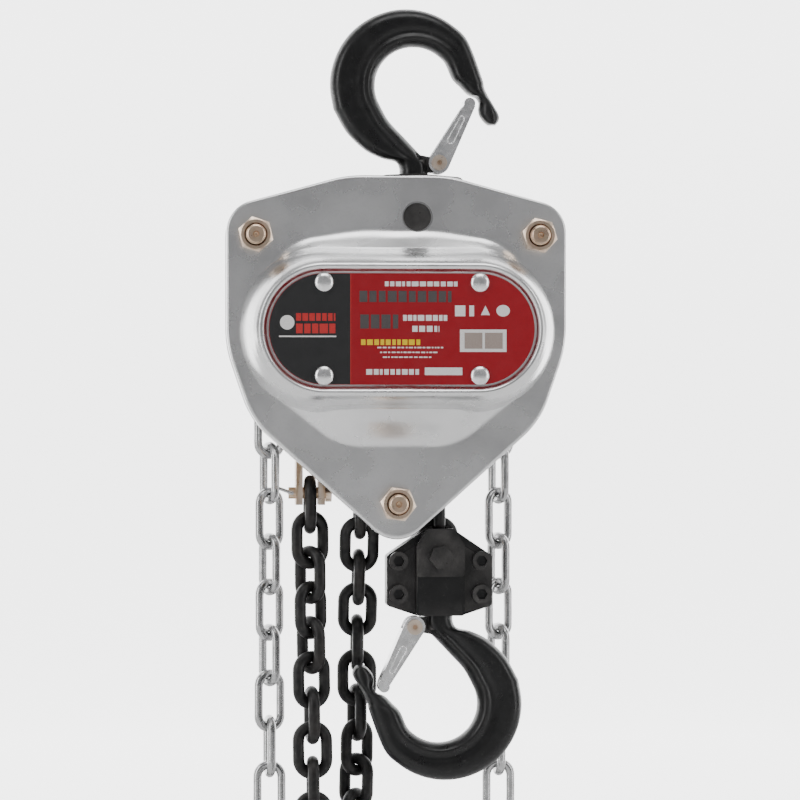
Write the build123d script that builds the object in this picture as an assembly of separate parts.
from build123d import *
import os
from math import acos, cos, hypot, pi, radians, sin, sqrt, tan

# Hand chain hoist for 500 kg, in millimetres.
# Pieces are drawn in the hoist frame: the drive shaft's axis is the Y axis, the gear cover
# faces -Y, the hand wheel is at +Y and Z is up. At the end every piece is moved so that the
# origin is the saddle of the top hook, the point that the hoist hangs from.

# ---- load chain and hand chain -------------------------------------------------------
LOAD_WIRE, LOAD_PITCH, LOAD_WIDTH, LOAD_POCKETS = 6.0, 18.0, 20.4, 4
HAND_WIRE, HAND_PITCH, HAND_WIDTH, HAND_POCKETS = 4.5, 24.0, 17.2, 8
LINK_SLACK = 0.2            # extra inner length of a link, so that neighbours just clear
FALL_LINKS = 6              # load links from the sheave down to the chain bolt
SLACK_LINKS = 16            # load links down the slack fall to its lower bend
DEAD_END_LINKS = 11         # load links from the bend up to the anchor
HAND_FALL_LINKS = 10        # hand links down each side
BEND_YAW = 25.0             # the slack chain's lower bend, seen from above
ANCHOR_X = -43.0            # chain anchor, left of the drive shaft
ANCHOR_TOP_Z = -89.0        # where the dead end's route meets the anchor
HAND_TWIST = 31.0           # how far the hand chain's falls turn about themselves

# ---- hooks ---------------------------------------------------------------------------
SHANK_X = 10.3              # top hook's shank and top pin, right of the drive shaft
BOWL_R = 20.0               # bowl of the hook
BACK_R = 39.3               # round back of the hook
BACK_DX, BACK_DZ = -3.8, 0.2
HOOK_THICK = 17.0
HOOK_EASE = 1.5             # rounding of the forging's edges
BOSS_HALF = 4.2             # half thickness of the boss between the latch's ears
EAR_ROOM = [                # the latch's ears swing here
    (6.4, -50), (6.4, -39), (0, -32), (0, -20), (24, -20), (24, -50)]
SHANK_R = 7.3
COLLAR_R, COLLAR_H = 10.0, 7.0
NECK_IN = 5.0               # length of shank between the yoke's face and the collar
NECK_DROP = 45.5            # bowl centre to the yoke's face
NECK_LONG = 16.0            # round shank, up into the forging
TOP_BOWL_Z = 127.5
SADDLE_Z = TOP_BOWL_Z + BOWL_R
LATCH_PIVOT = (12.6, -39.5)  # from the bowl's centre
LATCH_NOSE = (28.3, -9.0)
LATCH_PIN_R = 2.4
HOOK_THROAT = [             # cut out of the forging's disc below the bowl, from the bowl's centre
    (-19.0, -2.0), (-13.8, -16.8), (2.4, -34.2), (9.2, -40.2), (9.2, -70), (60, -70), (60, 4), (10, 9)]
HOOK_SOFT = [(-15.7, -12.4), (-13.8, -16.8), (19.6, 4.2)]  # its eased corners
HOOK_NOSE = [               # tip of the hook, with the notch that the latch shuts in
    (22, 16), (32.0, 14.0), (37.0, -2.4), (44.6, -15.2), (42.0, -20.8), (37.2, -19.4), (32.6, -13.2),
    (34.0, -7.0), (28.0, -4.6), (14, 9.9), (13, 14)]

# ---- frame ---------------------------------------------------------------------------
GAP = 32.0                  # between the side plates
PLATE_T = 4.0
PLATE_OUT = GAP / 2 + PLATE_T
COVER_W, COVER_Z = 86.5, 2.0
STAY_POINTS = [(-72.0, 50.0), (72.0, 50.0), (0.0, -86.0)]
STAY_R = 5.0
NUT_AF, NUT_H = 16.0, 8.0
SHEET = 1.5
TOP_PIN_R, TOP_PIN_Z = 7.0, 59.5
ROLLER_X, ROLLER_Z = 42.5, -12.0  # chain guide rollers beside the sheave
ROLLER_R = 7.5
STRIPPER_PIN = (0.0, -42.0)
LABEL_SCREWS = [(-39, 23.2), (39, 23.2), (-39, -23.2), (39, -23.2)]

# ---- gears ---------------------------------------------------------------------------
MODULE = 1.5
PINION_TEETH, WHEEL_TEETH, DISC_PINION_TEETH, LOAD_TEETH = 8, 40, 16, 32
PRESSURE = radians(25)
BACKLASH = 0.12
GEAR_CENTRES = MODULE * (PINION_TEETH + WHEEL_TEETH) / 2
SHAFT_R = 6.0
RUN = 0.05                  # radial clearance of a running fit

# ---- drive side ----------------------------------------------------------------------
WHEEL_Y = 58.0              # mid-plane of the hand wheel
RATCHET_TEETH = 12
PAWL_PIVOT = (-47.0, 8.0)

# ---- bottom block --------------------------------------------------------------------
BOLT_R = 3.5


def pocket_radius(pitch, wire, pockets):
    """Radius through the joints of a chain that lies in a wheel's pockets."""
    half = radians(90 / pockets)
    return 0.5 * sqrt((pitch / sin(half)) ** 2 + (wire / cos(half)) ** 2)


def flat_radius(pitch, wire, pockets):
    """Distance of a flat link's middle from the wheel's axis."""
    return sqrt(pocket_radius(pitch, wire, pockets) ** 2 - ((pitch + wire) / 2) ** 2)


def upright_radius(pitch, wire, pockets):
    """Distance of an upright link's middle from the wheel's axis."""
    return sqrt(pocket_radius(pitch, wire, pockets) ** 2 - ((pitch - wire) / 2) ** 2)


LOAD_FLAT = flat_radius(LOAD_PITCH, LOAD_WIRE, LOAD_POCKETS)
LOAD_X = upright_radius(LOAD_PITCH, LOAD_WIRE, LOAD_POCKETS)
HAND_FLAT = flat_radius(HAND_PITCH, HAND_WIRE, HAND_POCKETS)
HAND_X = upright_radius(HAND_PITCH, HAND_WIRE, HAND_POCKETS)
LAST_LINK_Z = -LOAD_PITCH * FALL_LINKS
BOLT_Z = LAST_LINK_Z - (LOAD_PITCH + LINK_SLACK) / 2 + BOLT_R + 0.1
BOTTOM_YOKE_Z = BOLT_Z - 30.0
BOTTOM_BOWL_Z = BOTTOM_YOKE_Z - NECK_DROP

parts = {}


# ---- helpers -------------------------------------------------------------------------
def rod(radius, y0, y1, x=0.0, z=0.0):
    """Cylinder along Y from y0 to y1."""
    middle = Pos(x, (y0 + y1) / 2, z)
    return middle * Rot(90, 0, 0) * Cylinder(radius, abs(y1 - y0))


def ring(outer, inner, y0, y1, x=0.0, z=0.0):
    return rod(outer, y0, y1, x, z) - rod(inner, min(y0, y1) - 1, max(y0, y1) + 1, x, z)


def hexagon(across, y0, y1, x=0.0, z=0.0, turn=0.0):
    """Hexagonal prism along Y with its corners eased."""
    plane = Plane(origin=(x, y0, z), x_dir=(1, 0, 0), z_dir=(0, 1 if y1 > y0 else -1, 0))
    sketch = plane * Rot(0, 0, turn) * RegularPolygon(across / 2, 6, major_radius=False)
    prism = extrude(sketch, abs(y1 - y0))
    return prism & rod(across / 2 * 1.12, y0, y1, x, z)


def slab(sketch, y0, y1):
    """Front-view sketch (drawn in X and Z) extruded from y0 to y1."""
    low = min(y0, y1)
    plane = Plane(origin=(0, low, 0), x_dir=(1, 0, 0), z_dir=(0, -1, 0))
    return extrude(plane * sketch, -abs(y1 - y0))


def block(x0, x1, y0, y1, z0, z1):
    middle = Pos((x0 + x1) / 2, (y0 + y1) / 2, (z0 + z1) / 2)
    return middle * Box(abs(x1 - x0), abs(y1 - y0), abs(z1 - z0))


def polygon(points):
    return make_face(Polyline(*points, close=True))


def rounded(points, radii):
    """Closed polygon whose corners are rounded by the given radii."""
    return make_face(FilletPolyline(*points, radius=radii, close=True))


def edges_at_y(solid, y):
    return solid.edges().filter_by(lambda e: abs(e.bounding_box().min.Y - y) < 1e-3
                                   and abs(e.bounding_box().max.Y - y) < 1e-3)


# ---- chains --------------------------------------------------------------------------
def chain_link(wire, pitch, width):
    """One welded link along Z, lying in the XZ plane."""
    bend = (width - wire) / 2
    straight = (pitch + LINK_SLACK + wire) - 2 * bend
    path = Plane.XZ * Rot(0, 0, 90) * SlotCenterToCenter(straight, 2 * bend)
    start = Plane(origin=(bend, 0, 0), z_dir=(0, 0, 1))
    return sweep(start * Circle(wire / 2), path=path.wire())


def place_link(link, centre, direction, turn):
    """Link at a point, along a direction, turned about itself; 0 faces the front."""
    along = Vector(*direction).normalized()
    side = along.cross(Vector(0, 1, 0)).normalized()
    plane = Plane(origin=centre, x_dir=side, z_dir=along)
    return plane * Rot(0, 0, turn) * link


def wheel_bend(link, upright, flat, pockets, centre_z, first, last):
    """Links on a half turn of pockets, from one end link to the other."""
    links = []
    step = 180 / pockets
    for k in range(first, last + 1):
        angle = radians(k * step)
        radius = flat if k % 2 else upright
        centre = (radius * cos(angle), 0, centre_z + radius * sin(angle))
        links.append(place_link(link, centre, (-sin(angle), 0, cos(angle)), 90 * (k % 2)))
    return links


def smooth(value, start, end):
    """0 before start, 1 after end, with a soft change between."""
    t = min(1.0, max(0.0, (value - start) / (end - start)))
    return t * t * (3 - 2 * t)


def load_link_turn(fall, k):
    """Turn of the k-th link of a load-chain fall, counted from its top."""
    if fall == "dead_end":
        return 90 * (k % 2) + 40 * (smooth(k, 0, 2) - smooth(k, 3, 7))
    return 90 * (k % 2) + 50 * smooth(k, 10, 13) * (1 - smooth(k, 14, 16))


def slack_route(z):
    """Slack fall: it leaves the sheave, then hangs back and inwards behind the hook."""
    inward = smooth(-z, 5, 90)
    x = -LOAD_X + 5.5 * inward - 1.5 * smooth(-z, 210, 280)
    y = 19.5 * smooth(-z, 88, 166) - 4.5 * smooth(-z, 225, 285)
    return Vector(x, y, z)


def dead_end_route(z, bend_x, bend_y, top_z):
    """Dead-end fall: from the lower bend up to the anchor."""
    rise = smooth(z, bend_low_z(), top_z)
    return Vector(bend_x + (ANCHOR_X - bend_x) * rise, bend_y * (1 - rise), z)


def step_along(route, z, sign):
    """Height of the next link's middle, one pitch along a route."""
    dz = sign * LOAD_PITCH
    for _ in range(4):
        reach = (route(z + dz) - route(z)).length
        dz *= LOAD_PITCH / reach
    return z + dz


def slack_heights():
    heights = [0.0]
    for _ in range(SLACK_LINKS):
        heights.append(step_along(slack_route, heights[-1], -1))
    return heights


def bend_low_z():
    return slack_heights()[-1]


BEND_HALF = sqrt(pocket_radius(LOAD_PITCH, LOAD_WIRE, 2) ** 2 - ((LOAD_PITCH - LOAD_WIRE) / 2) ** 2)
BEND_DROP = sqrt(pocket_radius(LOAD_PITCH, LOAD_WIRE, 2) ** 2 - ((LOAD_PITCH + LOAD_WIRE) / 2) ** 2)


def dead_end_heights(route):
    heights = [bend_low_z()]
    for _ in range(DEAD_END_LINKS):
        heights.append(step_along(route, heights[-1], 1))
    return heights


def bend_end():
    """Where the lower bend's far link stands."""
    near = slack_route(bend_low_z())
    return near - Vector(2 * BEND_HALF * cos(radians(BEND_YAW)), 2 * BEND_HALF * sin(radians(BEND_YAW)), 0)


def dead_end_path(z):
    far = bend_end()
    return dead_end_route(z, far.X, far.Y, ANCHOR_TOP_Z)


ANCHOR_LINK_Z = dead_end_heights(dead_end_path)[-1]
ANCHOR_PIN_R = 3.0
ANCHOR_PIN_Z = ANCHOR_LINK_Z + (LOAD_PITCH + LINK_SLACK) / 2 - ANCHOR_PIN_R - 0.1


def route_links(link, route, heights, fall, first):
    """Links at the given heights of a route, each along the route there."""
    links = []
    for k, z in enumerate(heights[first:], start=first):
        along = route(z + LOAD_PITCH / 2) - route(z - LOAD_PITCH / 2)
        turn = load_link_turn(fall, len(heights) - 1 - k if fall == "dead_end" else k)
        if fall == "dead_end":
            turn += 90
        links.append(place_link(link, route(z), along, turn))
    return links


def make_load_chain():
    """Load chain: over the sheave, down the slack fall, round its bend and up to the anchor."""
    link = chain_link(LOAD_WIRE, LOAD_PITCH, LOAD_WIDTH)
    fixed = wheel_bend(link, LOAD_X, LOAD_FLAT, LOAD_POCKETS, 0, 0, LOAD_POCKETS)
    fixed.append(place_link(link, (LOAD_X, 0, -LOAD_PITCH), (0, 0, 1), 90))
    fixed += route_links(link, slack_route, slack_heights(), "slack", 1)
    near, far = slack_route(bend_low_z()), bend_end()
    middle = (near + far) / 2 - Vector(0, 0, BEND_DROP)
    fixed.append(place_link(link, middle, near - far, 90))
    fixed += route_links(link, dead_end_path, dead_end_heights(dead_end_path), "dead_end", 0)
    parts["load_chain"] = Compound(fixed)
    falling = [place_link(link, (LOAD_X, 0, -LOAD_PITCH * k), (0, 0, 1), 90 * (k % 2))
               for k in range(2, FALL_LINKS + 1)]
    parts["load_chain_fall"] = Compound(falling)


def make_hand_chain():
    """Endless hand chain over the hand wheel."""
    link = chain_link(HAND_WIRE, HAND_PITCH, HAND_WIDTH)
    low = -HAND_PITCH * HAND_FALL_LINKS
    links = wheel_bend(link, HAND_X, HAND_FLAT, HAND_POCKETS, 0, 0, HAND_POCKETS)
    links += wheel_bend(link, HAND_X, HAND_FLAT, HAND_POCKETS, low, HAND_POCKETS, 2 * HAND_POCKETS)
    for side in (-1, 1):
        for k in range(1, HAND_FALL_LINKS):
            twist = HAND_TWIST * smooth(k, 0, 4) * (1 - smooth(k, 7, 10))
            centre = (side * HAND_X, 0, -HAND_PITCH * k)
            links.append(place_link(link, centre, (0, 0, 1), 90 * (k % 2) + twist))
    parts["hand_chain"] = Pos(0, WHEEL_Y, 0) * Compound(links)


# ---- hooks ---------------------------------------------------------------------------
def hook_face():
    """Hook seen from the front, bowl centre at the origin, down to the end of its neck."""
    disc = Pos(BACK_DX, BACK_DZ) * Circle(BACK_R)
    nose = rounded(HOOK_NOSE, (1, 1, 12, 2.2, 2.2, 4, 1.5, 2.4, 1.5, 1, 1))
    face = disc - polygon(HOOK_THROAT) + nose - Circle(BOWL_R)
    soft = [min(face.vertices(), key=lambda v: hypot(v.X - x, v.Y - z)) for x, z in HOOK_SOFT]
    return fillet(soft, 3.5)


def forged_hook():
    """Forged hook with eased edges, a round shank and a flat boss for the latch."""
    body = slab(hook_face(), -HOOK_THICK / 2, HOOK_THICK / 2)
    front = edges_at_y(body, -HOOK_THICK / 2)
    back = edges_at_y(body, HOOK_THICK / 2)
    body = fillet(list(front) + list(back), HOOK_EASE)
    body = body - (slab(polygon(EAR_ROOM), -20, 20) - block(-50, 60, -BOSS_HALF, BOSS_HALF, -80, 0))
    px, pz = LATCH_PIVOT
    boss = Pos(px, pz) * Circle(5.6) + polygon([(0, -34), (8, -35), (px, pz), (0, -NECK_DROP)])
    body = body + slab(boss, -BOSS_HALF, BOSS_HALF)
    body = body - rod(LATCH_PIN_R + RUN, -20, 20, px, pz)
    shank = Pos(0, 0, -NECK_DROP - NECK_IN + NECK_LONG / 2) * Cylinder(SHANK_R, NECK_LONG)
    shank = shank + Pos(0, 0, -NECK_DROP - NECK_IN - COLLAR_H / 2) * Cylinder(SHANK_R - 1.3, COLLAR_H)
    return body + shank


def hook_latch():
    """Sheet-metal latch: a channel whose ears straddle the hook's boss."""
    px, pz = LATCH_PIVOT
    nx, nz = LATCH_NOSE
    length = hypot(nx - px, nz - pz)
    ux, uz = (nx - px) / length, (nz - pz) / length
    side = [(px + uz * 5.4, pz - ux * 5.4), (nx + uz * 3.2, nz - ux * 3.2),
            (nx - uz * 2.0, nz + ux * 2.0), (px - uz * 5.4, pz + ux * 5.4)]
    face = polygon(side) + Pos(px, pz) * Circle(5.4) + Pos(nx, nz) * Circle(2.9)
    body = slab(face, -6.4, 6.4)
    web = 1.3
    hollow = [(px + uz * (5.4 - web) - ux * 9, pz - ux * (5.4 - web) - uz * 9),
              (nx + uz * 1.6 - ux * 3, nz - ux * 1.6 - uz * 3),
              (nx - uz * 12 - ux * 3, nz + ux * 12 - uz * 3),
              (px - uz * 16 - ux * 9, pz + ux * 16 - uz * 9)]
    body = body - slab(polygon(hollow), -5.0, 5.0) - rod(6.3, -5.0, 5.0, px, pz)
    return body - rod(LATCH_PIN_R + RUN, -10, 10, px, pz)


def latch_spring():
    """Torsion spring on the latch pin, one leg on the hook and one under the latch."""
    px, pz = LATCH_PIVOT
    inner = LATCH_PIN_R + 0.3
    return ring(4.0, inner, 4.35, 4.85, px, pz) + ring(4.0, inner, -4.85, -4.35, px, pz)


def latch_pin():
    px, pz = LATCH_PIVOT
    head = rod(3.9, -8.2, -6.6, px, pz) + rod(3.9, 6.6, 8.2, px, pz)
    return rod(LATCH_PIN_R, -8, 8, px, pz) + head - rod(1.2, -9, -7.4, px, pz)


def hook_collar():
    """Nut that holds the hook's shank in its yoke."""
    z = -NECK_DROP - NECK_IN
    nut = Cylinder(COLLAR_R, COLLAR_H) - Cylinder(SHANK_R - 1.3, COLLAR_H + 2)
    return Pos(0, 0, z - COLLAR_H / 2) * nut


def make_hook(prefix, move):
    parts[prefix + "_hook"] = move * forged_hook()
    parts[prefix + "_hook_collar"] = move * hook_collar()
    parts[prefix + "_latch"] = move * hook_latch()
    parts[prefix + "_latch_pin"] = move * latch_pin()
    parts[prefix + "_latch_spring"] = move * latch_spring()


# ---- yokes ---------------------------------------------------------------------------
def shank_room(x, face_z, down):
    """Space in a yoke for the shank and its collar, below or above a face."""
    neck = Pos(x, 0, face_z - down * 2) * Cylinder(SHANK_R + RUN, 8)
    floor_z = face_z - down * (NECK_IN - 0.4)
    collar = Pos(x, 0, floor_z - down * (COLLAR_H + 0.8) / 2) * Cylinder(COLLAR_R + 0.4, COLLAR_H + 0.8)
    return neck + collar


def make_top_yoke():
    """Yoke of the top hook: two halves on the top pin."""
    top = TOP_BOWL_Z - NECK_DROP
    left, right, low = SHANK_X - 19, SHANK_X + 28, TOP_PIN_Z - 12
    outline = rounded([(left, low), (right - 9, low), (right, TOP_PIN_Z + 4), (right - 4, top - 2),
                       (SHANK_X, top), (left, top - 1)], 4.0)
    whole = slab(outline, -14.6, 14.6) - shank_room(SHANK_X, top, 1)
    whole = whole - rod(TOP_PIN_R + RUN, -20, 20, SHANK_X, TOP_PIN_Z)
    bolts = [(left + 5, TOP_PIN_Z - 6), (right - 9, TOP_PIN_Z - 2)]
    for x, z in bolts:
        whole = whole - rod(3.0, -20, 20, x, z) - rod(5.1, -15, -11.4, x, z) - rod(5.1, 11.4, 15, x, z)
    parts["top_yoke_front"] = whole & block(-60, 80, -20, 0, 0, 120)
    parts["top_yoke_rear"] = whole & block(-60, 80, 0, 20, 0, 120)
    rivets = [rod(3.0, -14, 14, x, z) + rod(5, -14, -11.4, x, z) + rod(5, 11.4, 14, x, z) for x, z in bolts]
    parts["top_yoke_rivets"] = Compound(rivets)
    clip_y = PLATE_OUT + 0.2
    clip = ring(TOP_PIN_R + 2, TOP_PIN_R - 0.8, clip_y, clip_y + 1.2, SHANK_X, TOP_PIN_Z)
    gap = block(SHANK_X - 3, SHANK_X + 3, clip_y - 1, clip_y + 3, TOP_PIN_Z - 12, TOP_PIN_Z)
    groove = ring(TOP_PIN_R + 1, TOP_PIN_R - 0.8, clip_y - 0.05, clip_y + 1.25, SHANK_X, TOP_PIN_Z)
    parts["top_pin"] = rod(TOP_PIN_R, -PLATE_OUT - 0.9, PLATE_OUT + 2.6, SHANK_X, TOP_PIN_Z) - groove
    parts["top_pin_clip"] = clip - gap


def make_bottom_yoke():
    """Load block: two winged halves round the chain's last link and the hook's shank."""
    x0, low, apex = LOAD_X, BOTTOM_YOKE_Z, BOLT_Z + 15.5
    wing = rounded([(x0 - 27.0, low + 5), (x0 - 27.0, BOLT_Z + 0.5), (x0 - 5, apex), (x0 + 5, apex),
                    (x0 + 27.0, BOLT_Z + 0.5), (x0 + 27.0, low + 5), (x0 + 12, low), (x0 - 12, low)], 2.0)
    barrel = rounded([(x0 - 12.4, low), (x0 - 12.4, BOLT_Z + 6), (x0 - 7, apex - 1), (x0 + 7, apex - 1),
                      (x0 + 12.4, BOLT_Z + 6), (x0 + 12.4, low)], 1.6)
    step = rounded([(x0 - 12.4, BOLT_Z - 10), (x0 - 12.4, BOLT_Z + 6), (x0 - 7, apex - 1),
                    (x0 + 7, apex - 1), (x0 + 12.4, BOLT_Z + 6), (x0 + 12.4, BOLT_Z - 10)], 1.6)
    whole = slab(wing, -7, 7) + slab(barrel, -12.6, 12.6) + slab(step, -14, 14)
    whole = whole - block(x0 - 10.8, x0 + 10.8, -3.6, 3.6, LAST_LINK_Z - 15.6, apex + 20)
    whole = whole - block(x0 - 3.6, x0 + 3.6, -10.8, 10.8, LAST_LINK_Z + LOAD_PITCH - 15.8, apex + 20)
    whole = whole - shank_room(x0, low, -1)
    corners = [(x0 + sx * 21.3, BOLT_Z + z) for sx in (-1, 1) for z in (-2, -19)]
    for x, z in corners:
        whole = whole - rod(3.0, -20, 20, x, z)
    whole = whole - rod(BOLT_R, -20, 20, x0, BOLT_Z)
    parts["bottom_yoke_front"] = whole & block(-40, 90, -20, 0, -200, 0)
    parts["bottom_yoke_rear"] = whole & block(-40, 90, 0, 20, -200, 0)
    screws, nuts = [], []
    for x, z in corners:
        head = rod(4.8, -12.2, -7, x, z)
        socket = hexagon(5, -10, -13, x, z)
        screws.append(head + rod(3.0, -7, 12.5, x, z) - socket)
        nuts.append(hexagon(9, 7, 11.5, x, z) - rod(3.0, 0, 20, x, z))
    parts["yoke_screws"] = Compound(screws)
    parts["yoke_nuts"] = Compound(nuts)
    parts["chain_bolt"] = rod(BOLT_R, -14, 20, x0, BOLT_Z) + hexagon(10.8, -14, -18, x0, BOLT_Z, 10)
    parts["chain_bolt_nut"] = hexagon(10.8, 14, 18.5, x0, BOLT_Z) - rod(BOLT_R, 0, 30, x0, BOLT_Z)


# ---- frame and covers ----------------------------------------------------------------
def cover_outline(inset=0.0):
    """Rounded shield: wide shoulders at the upper stays, narrowing to the lower stay."""
    w = COVER_W - inset
    top, tip = 78.5 + COVER_Z - inset, -107.0 + COVER_Z + inset * 1.2
    shoulder = 66.0 - inset
    points = [(-w, shoulder - 2), (-w, -6), (-w + 13, -44), (0, tip - 5), (w - 13, -44), (w, -6),
              (w, shoulder - 2), (26, top), (-26, top)]
    radii = [16 - inset, 60, 45, 17 - inset / 2, 45, 60, 16 - inset, 60, 60]
    return rounded(points, radii)


def side_plate(y0, y1):
    """Side plate with bores for the stays, the sheave's bearing and the top pin."""
    plate = slab(cover_outline(2.6), y0, y1)
    for x, z in STAY_POINTS:
        plate = plate - rod(STAY_R + RUN, -60, 60, x, z)
    plate = plate - rod(17, -60, 60) - rod(TOP_PIN_R, -60, 60, SHANK_X, TOP_PIN_Z)
    for sx in (-1, 1):
        plate = plate - rod(4, -60, 60, sx * ROLLER_X, ROLLER_Z)
    return plate - rod(4, -60, 60, *ANCHOR_HOLD) - rod(3, -60, 60, *STRIPPER_PIN)


ANCHOR_HOLD = (ANCHOR_X, ANCHOR_PIN_Z + 24)


def make_frame():
    front = side_plate(-PLATE_OUT, -GAP / 2)
    for sx in (-1, 1):
        front = front - rod(5, -60, 60, sx * GEAR_CENTRES, 0)
    parts["gear_side_plate"] = front
    rear = side_plate(GAP / 2, PLATE_OUT)
    parts["wheel_side_plate"] = rear - rod(3, -60, 60, *PAWL_PIVOT)
    stays, nuts, spacers = [], [], []
    for x, z in STAY_POINTS:
        stays.append(rod(STAY_R, -33, 33, x, z))
        spacers.append(ring(8.5, STAY_R, -GAP / 2, GAP / 2, x, z))
        for side in (-1, 1):
            inner = side * (PLATE_OUT + SHEET)
            nut = hexagon(NUT_AF, inner, inner + side * NUT_H, x, z, 12)
            nuts.append(nut - rod(STAY_R, -60, 60, x, z))
    parts["stay_bolts"] = Compound(stays)
    parts["stay_nuts"] = Compound(nuts)
    parts["stay_spacers"] = Compound(spacers)


def stadium(width, height, z):
    return Pos(0, z) * SlotOverall(width, height)


def chin(inset=0.0):
    """Lower bulge of the gear cover, over the load gear."""
    k = inset
    points = [(-80 + k, 2), (-56 + k, 47 - k), (56 - k, 47 - k), (80 - k, 2), (30, -54 + k), (-30, -54 + k)]
    return rounded(points, [30, 26, 26, 30, 30, 30])


def tier(face, y0, y1, taper):
    """Front-view face drawn out towards the front, narrowing by the taper."""
    plane = Plane(origin=(0, y0, 0), x_dir=(1, 0, 0), z_dir=(0, -1, 0))
    return extrude(plane * face, abs(y1 - y0), taper=taper)


def make_gear_cover():
    """Pressed cover: a flange, a chin over the load gear and an oval over the disc gears."""
    face_y, chin_y, oval_y = -PLATE_OUT - SHEET, -36.0, -50.0
    outer = slab(cover_outline(), face_y, -PLATE_OUT + 5)
    outer = outer + tier(chin(), face_y, chin_y, 20) + tier(stadium(150.5, 77, COVER_Z), face_y, oval_y, 7)
    inner = slab(cover_outline(SHEET), -PLATE_OUT, 0)
    inner = inner + tier(chin(SHEET), -PLATE_OUT, chin_y + SHEET, 20)
    inner = inner + tier(stadium(147.5, 74, COVER_Z), -PLATE_OUT, oval_y + SHEET, 7)
    cover = outer - inner
    cover = cover - slab(stadium(135, 57.5, COVER_Z), oval_y, oval_y + 0.8)
    for x, z in STAY_POINTS:
        cover = cover - rod(STAY_R + RUN, -60, 0, x, z)
    cover = cover - rod(TOP_PIN_R + 0.8, -60, -10, SHANK_X, TOP_PIN_Z)
    screws = []
    for x, z in LABEL_SCREWS:
        cover = cover - rod(1.9, -60, -40, x, z + COVER_Z)
        head = Pos(x, -51.8, z + COVER_Z) * Rot(90, 0, 0) * Cone(4.8, 3.0, 2.4)
        screws.append(head + rod(1.9, -50.7, -46.5, x, z + COVER_Z))
    parts["gear_cover"] = cover
    plate = slab(stadium(133, 55.5, COVER_Z), oval_y - 0.6, oval_y + 0.8)
    for x, z in LABEL_SCREWS:
        plate = plate - rod(1.9, -60, -40, x, z + COVER_Z)
    parts["label_plate"] = plate
    parts["label_screws"] = Compound(screws)


def make_wheel_cover():
    """Hand-wheel cover: a flange on the side plate and a drum open below for the chain."""
    drum_r, end_y = 74.0, WHEEL_Y + 27.5
    flange = slab(cover_outline(1.0), PLATE_OUT, PLATE_OUT + SHEET) - rod(drum_r - SHEET, 0, 60)
    for x, z in STAY_POINTS:
        flange = flange - rod(STAY_R + RUN, 0, 60, x, z)
    drum = rod(drum_r, PLATE_OUT, end_y) - rod(drum_r - SHEET, 0, end_y - SHEET)
    drum = fillet(edges_at_y(drum, end_y), 4.0)
    window = block(-90, 90, WHEEL_Y - 16, WHEEL_Y + 16, -90, -22)
    parts["hand_wheel_cover"] = flange + (drum - window) - rod(9, end_y - 5, end_y + 5)


# ---- gears and shaft -----------------------------------------------------------------
def involute(angle):
    return tan(angle) - angle


def gear_face(teeth, phase):
    """Spur gear with involute flanks; phase is where one tooth points, in degrees."""
    pitch_r = MODULE * teeth / 2
    base_r = pitch_r * cos(PRESSURE)
    tip_r, root_r = pitch_r + 0.75 * MODULE, pitch_r - MODULE
    points = []
    for tooth in range(teeth):
        middle = radians(phase) + 2 * pi * tooth / teeth
        flank = []
        start = max(base_r, root_r)
        for i in range(4):
            r = start + (tip_r - start) * i / 3
            half = pi / (2 * teeth) + involute(PRESSURE) - involute(acos(base_r / r)) - BACKLASH / pitch_r
            flank.append((r, half))
        flank.insert(0, (root_r, flank[0][1] + 0.002))
        for r, half in flank:
            points.append((r * cos(middle - half), r * sin(middle - half)))
        for r, half in reversed(flank):
            points.append((r * cos(middle + half), r * sin(middle + half)))
    return polygon(points)


def gear(teeth, y0, y1, phase=0.0, x=0.0):
    return slab(Pos(x, 0) * gear_face(teeth, phase), y0, y1)


def make_gears():
    """Pinion shaft, the two disc gears beside it and the load gear."""
    shaft = rod(SHAFT_R, -33, 80) - rod(1.6, 70, 90) + gear(PINION_TEETH, -40.5, -33.5) + rod(4.4, -34, -32)
    shaft = shaft - Pos(0, 76.5, 0) * Cylinder(1.3, 20)
    parts["drive_shaft"] = shaft + rod(SHAFT_R, 69, 72)
    bushes = []
    for name, side in (("disc_gear_left", -1), ("disc_gear_right", 1)):
        x = side * GEAR_CENTRES
        big = gear(WHEEL_TEETH, -40.3, -34.6, 180 / WHEEL_TEETH, x)
        big = big - rod(24, -42, -38.6, x) + rod(9, -41, -34.6, x)
        small = gear(DISC_PINION_TEETH, -34.6, -22.4, 0, x)
        journal = rod(5 - RUN, -44.5, -41, x) + rod(5 - RUN, -22.4, -16.2, x)
        parts[name] = big + small + journal
        bushes.append(ring(8, 5, -48.3, -41.4, x))
    parts["disc_gear_bushes"] = Compound(bushes)
    load = gear(LOAD_TEETH, -30.5, -23, 180 / LOAD_TEETH) - rod(10, -40, -10)
    parts["load_gear"] = load
    clip = ring(11.5, 9.2, -32, -30.7)
    parts["load_gear_clip"] = clip - block(-3, 3, -40, -20, -15, 0)


def make_sheave():
    """Four-pocket load sheave on its two journals, with the bearings in the side plates."""
    half = 13.5
    body = rod(27.5, -half, half) - ring(40, 11.6, -3.7, 3.7)
    floor = LOAD_FLAT - LOAD_WIRE / 2 - 0.3
    for k in range(LOAD_POCKETS):
        pocket = block(-15.6, 15.6, -10.9, 10.9, floor, 40)
        body = body - Rot(0, 45 + 90 * k, 0) * pocket
    journal = rod(13, -22.8, -half) + rod(10, -32.4, -22.8) + rod(13, half, 22)
    body = body + journal - ring(12, 9.2, -32, -30.7)
    parts["load_sheave"] = body - rod(SHAFT_R + RUN, -60, 60)
    front = ring(17, 13 + RUN, -PLATE_OUT - 1, -GAP / 2 + 0.6)
    rear = ring(17, 13 + RUN, GAP / 2 - 0.6, PLATE_OUT + 1)
    parts["sheave_bearings"] = Compound([front, rear])


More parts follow.
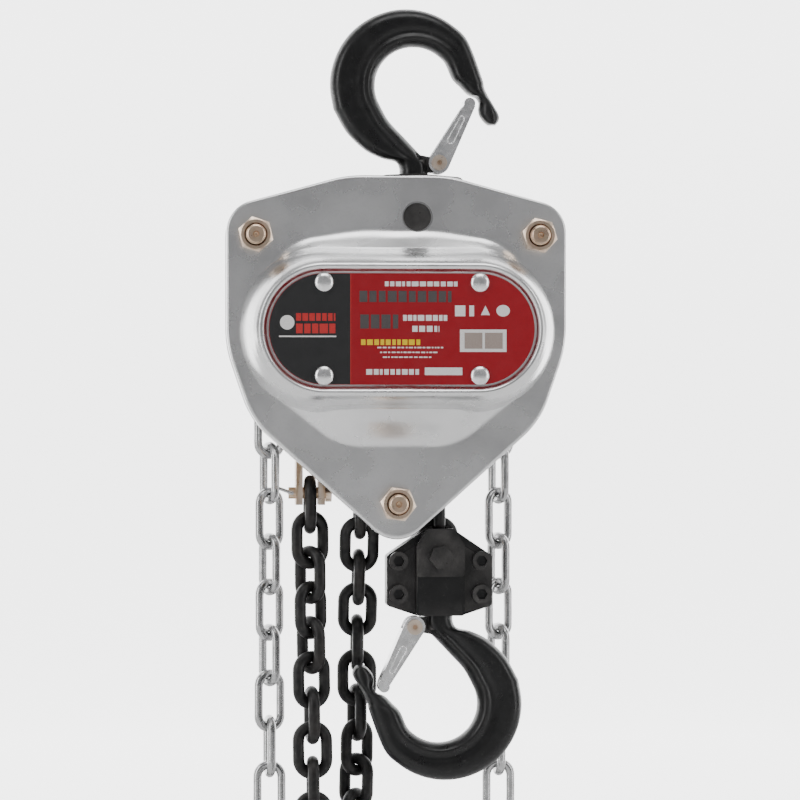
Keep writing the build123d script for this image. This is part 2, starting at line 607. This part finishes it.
# ---- guides and anchor ---------------------------------------------------------------
def make_guides():
    """Chain guides between the side plates, and the anchor of the chain's dead end."""
    pins = []
    for name, side in (("guide_roller_left", -1), ("guide_roller_right", 1)):
        x = side * ROLLER_X
        pins.append(rod(4, -PLATE_OUT, PLATE_OUT, x, ROLLER_Z))
        parts[name] = ring(ROLLER_R, 4 + RUN, -13.8, 13.8, x, ROLLER_Z)
    parts["guide_roller_pins"] = Compound(pins)
    px, pz = STRIPPER_PIN
    tongue = polygon([(-6, -14.5), (6, -14.5), (11, -26), (9, pz - 6), (-9, pz - 6), (-11, -26)])
    foot = slab(polygon([(-9, -31), (9, -31), (9, pz - 6), (-9, pz - 6)]), -15.6, 15.6)
    stripper = slab(tongue, -2.9, 2.9) + foot - rod(3, -60, 60, px, pz)
    parts["chain_stripper"] = stripper
    parts["stripper_pin"] = rod(3, -PLATE_OUT, PLATE_OUT, px, pz)
    hx, hz = ANCHOR_HOLD
    parts["anchor_hanger_pin"] = rod(4, -PLATE_OUT, PLATE_OUT, hx, hz)
    bridge = slab(stadium(16, 12, 0).moved(Location((hx, hz))), -7, 7)
    ears = [block(hx + s * 4.0, hx + s * 7.4, -6.5, 6.5, ANCHOR_PIN_Z - 6, hz) for s in (-1, 1)]
    anchor = bridge + ears[0] + ears[1] - rod(4, -60, 60, hx, hz)
    anchor = anchor - Pos(hx, 0, ANCHOR_PIN_Z) * Rot(0, 90, 0) * Cylinder(ANCHOR_PIN_R, 40)
    parts["chain_anchor"] = anchor
    pin = Pos(hx, 0, ANCHOR_PIN_Z) * Rot(0, 90, 0) * Cylinder(ANCHOR_PIN_R, 22)
    pin = pin + Pos(hx + 9.5, 0, ANCHOR_PIN_Z) * Rot(0, 90, 0) * Cylinder(4.6, 3)
    hole = Pos(hx - 9.4, 0, ANCHOR_PIN_Z) * Rot(90, 0, 0) * Cylinder(0.9, 20)
    parts["anchor_pin"] = pin - hole
    leg = Pos(hx - 9.4, 0, ANCHOR_PIN_Z) * Rot(90, 0, 0) * Cylinder(0.85, 13)
    out = Pos(hx - 9.4, -5.8, ANCHOR_PIN_Z) * Rot(0, -70, 0) * Pos(0, 0, 3.5) * Cylinder(0.85, 8)
    parts["anchor_split_pin"] = leg + out + Pos(hx - 9.4, 6.5, ANCHOR_PIN_Z) * Sphere(1.7)


# ---- brake and hand wheel ------------------------------------------------------------
def ratchet_face():
    points = []
    for k in range(RATCHET_TEETH):
        start = 360 / RATCHET_TEETH * k
        for r, turn in ((30.0, 0), (25.5, 2), (26.5, 12), (28.6, 22)):
            a = radians(start + turn)
            points.append((r * cos(a), r * sin(a)))
    return polygon(points)


def make_brake():
    """Load brake: seat, two friction discs and the ratchet disc between them, with its pawl."""
    parts["brake_seat"] = rod(26, 23.2, 27) + rod(11.5, 27, 36.8) - rod(SHAFT_R, 0, 60)
    parts["friction_disc_inner"] = ring(25, 12, 27.15, 29.65)
    parts["friction_disc_outer"] = ring(25, 12, 34.1, 36.65)
    parts["ratchet_disc"] = slab(ratchet_face(), 29.8, 33.9) - rod(12, 0, 60)
    px, pz = PAWL_PIVOT
    tip = (-27.2, -5.6)
    arm = polygon([(px + 4, pz + 6), (tip[0] - 0.9, tip[1] + 2.5),
                   (tip[0] - 1.1, tip[1] - 1.2), (px - 4, pz - 5.5)])
    pawl = slab(arm + Pos(px, pz) * Circle(6.5), 29.9, 33.8)
    parts["pawl"] = pawl - rod(3 + RUN, 0, 60, px, pz)
    pin = rod(3, GAP / 2, 36.5, px, pz) + rod(5, 34.2, 36.5, px, pz)
    parts["pawl_pin"] = pin + rod(5, PLATE_OUT, 29.6, px, pz)
    leg = block(px + 4, px + 17, 26.9, 27.5, pz - 6.3, pz - 5.3)
    parts["pawl_spring"] = ring(6.4, 5.3, 24, 27.5, px, pz) + leg


def make_hand_wheel():
    """Eight-pocket hand wheel, its nut and split pin."""
    rim = rod(66, WHEEL_Y - 12, WHEEL_Y + 12) - ring(80, 51.6, WHEEL_Y - 2.9, WHEEL_Y + 2.9)
    rim = rim - ring(47, 14, WHEEL_Y + 3, WHEEL_Y + 20) - ring(47, 14, WHEEL_Y - 20, WHEEL_Y - 3)
    floor = HAND_FLAT - HAND_WIRE / 2 - 0.3
    for k in range(HAND_POCKETS):
        pocket = block(-16.9, 16.9, WHEEL_Y - 9, WHEEL_Y + 9, floor, 90)
        rim = rim - Rot(0, 22.5 + 45 * k, 0) * pocket
    for k in range(4):
        rim = rim - rod(9, 30, 90, 31 * cos(pi / 2 * k), 31 * sin(pi / 2 * k))
    hub = rod(25.5, 36.9, 40.5) + rod(14, 40.5, WHEEL_Y + 11)
    parts["hand_wheel"] = rim + hub - rod(SHAFT_R, 0, 100)
    nut = hexagon(18, WHEEL_Y + 12.3, WHEEL_Y + 21, 0, 0) - rod(SHAFT_R, 0, 100)
    for k in range(3):
        slot = Rot(0, 60 * k, 0) * block(-1.4, 1.4, WHEEL_Y + 17, WHEEL_Y + 25, -20, 20)
        nut = nut - slot
    parts["shaft_nut"] = nut
    parts["shaft_split_pin"] = Pos(0, 76.5, 0) * Cylinder(1.25, 23)


# ---- assembly ------------------------------------------------------------------------
def make_all():
    make_hook("top", Pos(SHANK_X, 0, TOP_BOWL_Z))
    make_top_yoke()
    make_frame()
    make_gear_cover()
    make_wheel_cover()
    make_gears()
    make_sheave()
    make_guides()
    make_brake()
    make_hand_wheel()
    make_hand_chain()
    make_load_chain()
    make_bottom_yoke()
    make_hook("bottom", Pos(LOAD_X, 0, BOTTOM_BOWL_Z) * Rot(0, 180, 0))


def write_parts():
    os.makedirs("parts", exist_ok=True)
    to_saddle = Pos(-SHANK_X, 0, -SADDLE_Z)
    for name, shape in parts.items():
        export_step(to_saddle * shape, "parts/" + name + ".step")


make_all()
write_parts()
print(len(parts), "parts written")
